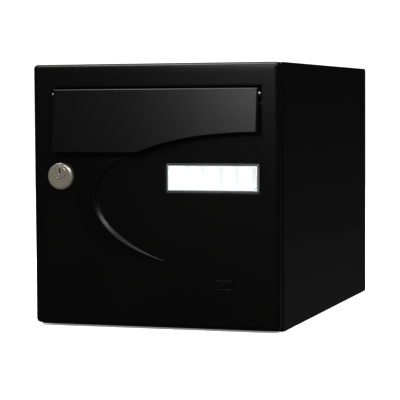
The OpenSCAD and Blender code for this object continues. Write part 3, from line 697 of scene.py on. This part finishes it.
def turned_nickel(name, centre):
    """Satin nickel with fine rings about the lock's middle, as a lathe leaves them, and edges mixed towards
    near white as a painted highlight.
    """
    mat, tree, shader = node_tree(name)
    rounded, edge = edge_mask(tree, 0.8 * MM)
    coords = tree.nodes.new("ShaderNodeTexCoord")
    shift = tree.nodes.new("ShaderNodeVectorMath")
    shift.operation = "SUBTRACT"
    shift.inputs[1].default_value = centre
    tree.links.new(coords.outputs["Object"], shift.inputs[0])
    flat = tree.nodes.new("ShaderNodeVectorMath")
    flat.operation = "MULTIPLY"
    flat.inputs[1].default_value = (1, 0, 1)
    tree.links.new(shift.outputs[0], flat.inputs[0])
    length = tree.nodes.new("ShaderNodeVectorMath")
    length.operation = "LENGTH"
    tree.links.new(flat.outputs[0], length.inputs[0])
    rings = tree.nodes.new("ShaderNodeTexNoise")
    rings.noise_dimensions = "1D"
    rings.inputs["Scale"].default_value = 5200
    tree.links.new(length.outputs["Value"], rings.inputs["W"])
    grain = noise(tree, 700, 4)
    # painted highlight: edges mixed towards near white
    base = mix(tree, edge, ramp(tree, grain, (0.54, 0.50, 0.415), (0.62, 0.58, 0.49)), (0.98, 0.96, 0.9))
    tree.links.new(base, shader.inputs["Base Color"])
    tree.links.new(spread(tree, grain, 0.3, 0.42), shader.inputs["Roughness"])
    tree.links.new(bump(tree, rings.outputs["Fac"], 0.2, 0.00002, rounded), shader.inputs["Normal"])
    shader.inputs["Metallic"].default_value = 0.78
    return mat


BLACK = powder_coat("black_coat", (0.0034, 0.0034, 0.0031), 0.34)
# painted light: the door's black made a little lighter for the flap, standing in for light the tilted flap
# catches
FLAP_BLACK_PAINTED_LIT = powder_coat("flap_coat", (0.0042, 0.0042, 0.0042), 0.33)
ZINC = plated("zinc_steel", (0.55, 0.56, 0.58), (0.68, 0.69, 0.7), 0.34, (1, 1, 6))
NICKEL = turned_nickel("satin_nickel", ROSE)
PLUG_NICKEL = turned_nickel("plug_nickel", PLUG)
SPRING = plated("spring_steel", (0.05, 0.05, 0.052), (0.09, 0.09, 0.092), 0.42, (6, 1, 1))
BRASS = plated("brass", (0.6, 0.45, 0.2), (0.74, 0.58, 0.3), 0.4, (1, 6, 1))
RUBBER = moulded("rubber", (0.012, 0.012, 0.012), 0.7)
PLASTIC = moulded("black_plastic", (0.01, 0.01, 0.01), 0.5, 1100)
CARD = paper("card")
CLEAR = clear_plastic("clear_plastic")
CLEAR_RIM_PAINTED_LIGHT = clear_plastic("clear_rim_painted_light", RIM_PAINTED_LIGHT)

BY_SLOT = {"black_coat": BLACK, "flap_coat": FLAP_BLACK_PAINTED_LIT, "zinc_steel": ZINC, "satin_nickel": NICKEL,
           "brass": BRASS, "rubber": RUBBER, "black_plastic": PLASTIC, "card": CARD, "clear_plastic": CLEAR}


def paint_cad_nodes():
    for entry in frame["record"]["subparts"]:
        obj = frame["nodes"][entry["node"]]
        obj.data.materials.clear()
        obj.data.materials.append(BY_SLOT[entry["material_slot"]])
    frame["nodes"]["lock_plug"].data.materials[0] = PLUG_NICKEL


# ---------- studio ----------

STUDIO_AIM = (0, -0.2, 0)
WORLD_WHITE = 1.15
GLOW_AZIMUTH = 165           # degrees round from the front
GLOW_Z = -0.42               # how far down the glow lies, for one unit along the ground
GLOW_WIDTH = 24              # degrees from its middle to its edge
GLOW_RANGE = (0.006, 0.2)
FLOOR_R = 3.0
FLOOR_GLOW = 0.3
# name, azimuth and elevation in degrees, distance, size, power in watts, and the point it is aimed at
LIGHTS = [
    ("top_box", 20, 82, 1.6, (1.6, 1.0), 36, STUDIO_AIM),
    ("left_box", -40, 60, 1.2, (0.45, 0.45), 3.2, STUDIO_AIM),
    ("right_box", 42, 36, 1.2, (0.3, 0.3), 4.6, STUDIO_AIM),
    ("high_box", 0, 40, 0.7, (0.25, 0.25), 0.3, STUDIO_AIM),
    ("flap_box", -4, 21, 0.75, (0.22, 0.22), 1.75, (0.03, -0.44, 0.09)),
]
CAMERA_AZIMUTH = 17.92       # degrees to the right of straight ahead
CAMERA_ELEVATION = 3.302
CAMERA_ROLL = -0.3513
CAMERA_LENS = 149.02         # on a 36 mm wide sensor
CAMERA_DISTANCE = 6.9413     # in heights of the box, as are the two offsets of its target
CAMERA_ASIDE = -0.0585
CAMERA_UP = 0.4457
DISPLAY_GAMMA = 0.72         # deepens the blacks


def softbox(name, azimuth, elevation, distance, size, power, aim):
    """A soft area light, placed round the object: azimuth 0 is in front of the door, 90 on its right."""
    az, el = math.radians(azimuth), math.radians(elevation)
    aim = Vector(aim)
    place = aim + distance * Vector((math.sin(az) * math.cos(el), -math.cos(az) * math.cos(el), math.sin(el)))
    light = bpy.data.lights.new(name, "AREA")
    light.shape = "RECTANGLE"
    light.size, light.size_y = size
    light.energy = power
    obj = bpy.data.objects.new(name, light)
    obj.location = place
    obj.rotation_euler = (aim - place).to_track_quat("-Z", "Y").to_euler()
    obj.visible_camera = False
    bpy.context.scene.collection.objects.link(obj)


def sky():
    """Plain white all round, but nearly dark in reflections, with a soft low glow behind on the right."""
    world = bpy.data.worlds.new("studio")
    bpy.context.scene.world = world
    world.use_nodes = True
    tree = world.node_tree
    tree.nodes.clear()
    out = tree.nodes.new("ShaderNodeOutputWorld")
    paths = tree.nodes.new("ShaderNodeLightPath")
    white = tree.nodes.new("ShaderNodeBackground")
    white.inputs["Color"].default_value = (1, 1, 1, 1)
    white.inputs["Strength"].default_value = WORLD_WHITE
    dim = tree.nodes.new("ShaderNodeBackground")
    dim.inputs["Color"].default_value = (1, 1, 1, 1)
    azimuth = math.radians(GLOW_AZIMUTH)
    coords = tree.nodes.new("ShaderNodeTexCoord")
    facing = tree.nodes.new("ShaderNodeVectorMath")
    facing.operation = "DOT_PRODUCT"
    facing.inputs[1].default_value = Vector((math.sin(azimuth), -math.cos(azimuth), GLOW_Z)).normalized()
    tree.links.new(coords.outputs["Generated"], facing.inputs[0])
    lobe = tree.nodes.new("ShaderNodeMapRange")
    lobe.interpolation_type = "SMOOTHSTEP"
    lobe.inputs["From Min"].default_value = math.cos(math.radians(GLOW_WIDTH))
    lobe.inputs["From Max"].default_value = 1
    lobe.inputs["To Min"].default_value, lobe.inputs["To Max"].default_value = GLOW_RANGE
    tree.links.new(facing.outputs["Value"], lobe.inputs["Value"])
    tree.links.new(lobe.outputs[0], dim.inputs["Strength"])
    blend = tree.nodes.new("ShaderNodeMixShader")
    tree.links.new(paths.outputs["Is Glossy Ray"], blend.inputs[0])
    tree.links.new(white.outputs[0], blend.inputs[1])
    tree.links.new(dim.outputs[0], blend.inputs[2])
    tree.links.new(blend.outputs[0], out.inputs[0])


def pale_floor():
    """A wide white floor that doesn't light the box, shade it or show in its gloss."""
    bpy.ops.mesh.primitive_circle_add(vertices=96, radius=FLOOR_R, fill_type="NGON",
                                      location=(0, STUDIO_AIM[1], cad_bounds[0][2]))
    floor = bpy.context.object
    floor.name = "floor"
    mat, tree, shader = node_tree("pale_floor")
    tree.links.new(ramp(tree, noise(tree, 3, 2), (0.93, 0.93, 0.93), (0.96, 0.96, 0.96)),
                   shader.inputs["Base Color"])
    shader.inputs["Roughness"].default_value = 0.9
    shader.inputs["Emission Color"].default_value = (1, 1, 1, 1)
    shader.inputs["Emission Strength"].default_value = FLOOR_GLOW
    floor.data.materials.append(mat)
    floor.visible_glossy = False
    floor.visible_diffuse = False
    floor.visible_shadow = False


def studio():
    sky()
    pale_floor()
    for name, azimuth, elevation, distance, size, power, aim in LIGHTS:
        softbox(name, azimuth, elevation, distance, size, power, aim)


def camera():
    """The camera stands right of the door and a little above its middle, with a long lens."""
    height = cad_bounds[1][2] - cad_bounds[0][2]
    azimuth, elevation = math.radians(CAMERA_AZIMUTH), math.radians(CAMERA_ELEVATION)
    roll = math.radians(CAMERA_ROLL)
    back = Vector((math.sin(azimuth) * math.cos(elevation), -math.cos(azimuth) * math.cos(elevation),
                   math.sin(elevation)))
    right = Vector((math.cos(azimuth), math.sin(azimuth), 0))
    up = back.cross(right)
    turned_right = right * math.cos(roll) + up * math.sin(roll)
    turned_up = up * math.cos(roll) - right * math.sin(roll)
    target = Vector((CAMERA_ASIDE * height, FACE_Y / 2, cad_bounds[0][2] + CAMERA_UP * height))
    data = bpy.data.cameras.new("camera")
    data.sensor_width = 36
    data.lens = CAMERA_LENS
    data.clip_end = 50
    obj = bpy.data.objects.new("camera", data)
    matrix = Matrix((turned_right, turned_up, back)).transposed().to_4x4()
    matrix.translation = target + back * (CAMERA_DISTANCE * height)
    obj.matrix_world = matrix
    bpy.context.scene.collection.objects.link(obj)
    bpy.context.scene.camera = obj


# ---------- build ----------

paint_cad_nodes()
door_shell(BLACK)
door_emblem(BLACK)
clear_window(CLEAR, CLEAR_RIM_PAINTED_LIGHT)
flap_spring("spring_left", "flap_spring_left", -1, SPRING)
flap_spring("spring_right", "flap_spring_right", 1, SPRING)
studio()
camera()
bpy.context.scene.view_settings.view_transform = "Standard"
bpy.context.scene.view_settings.gamma = DISPLAY_GAMMA
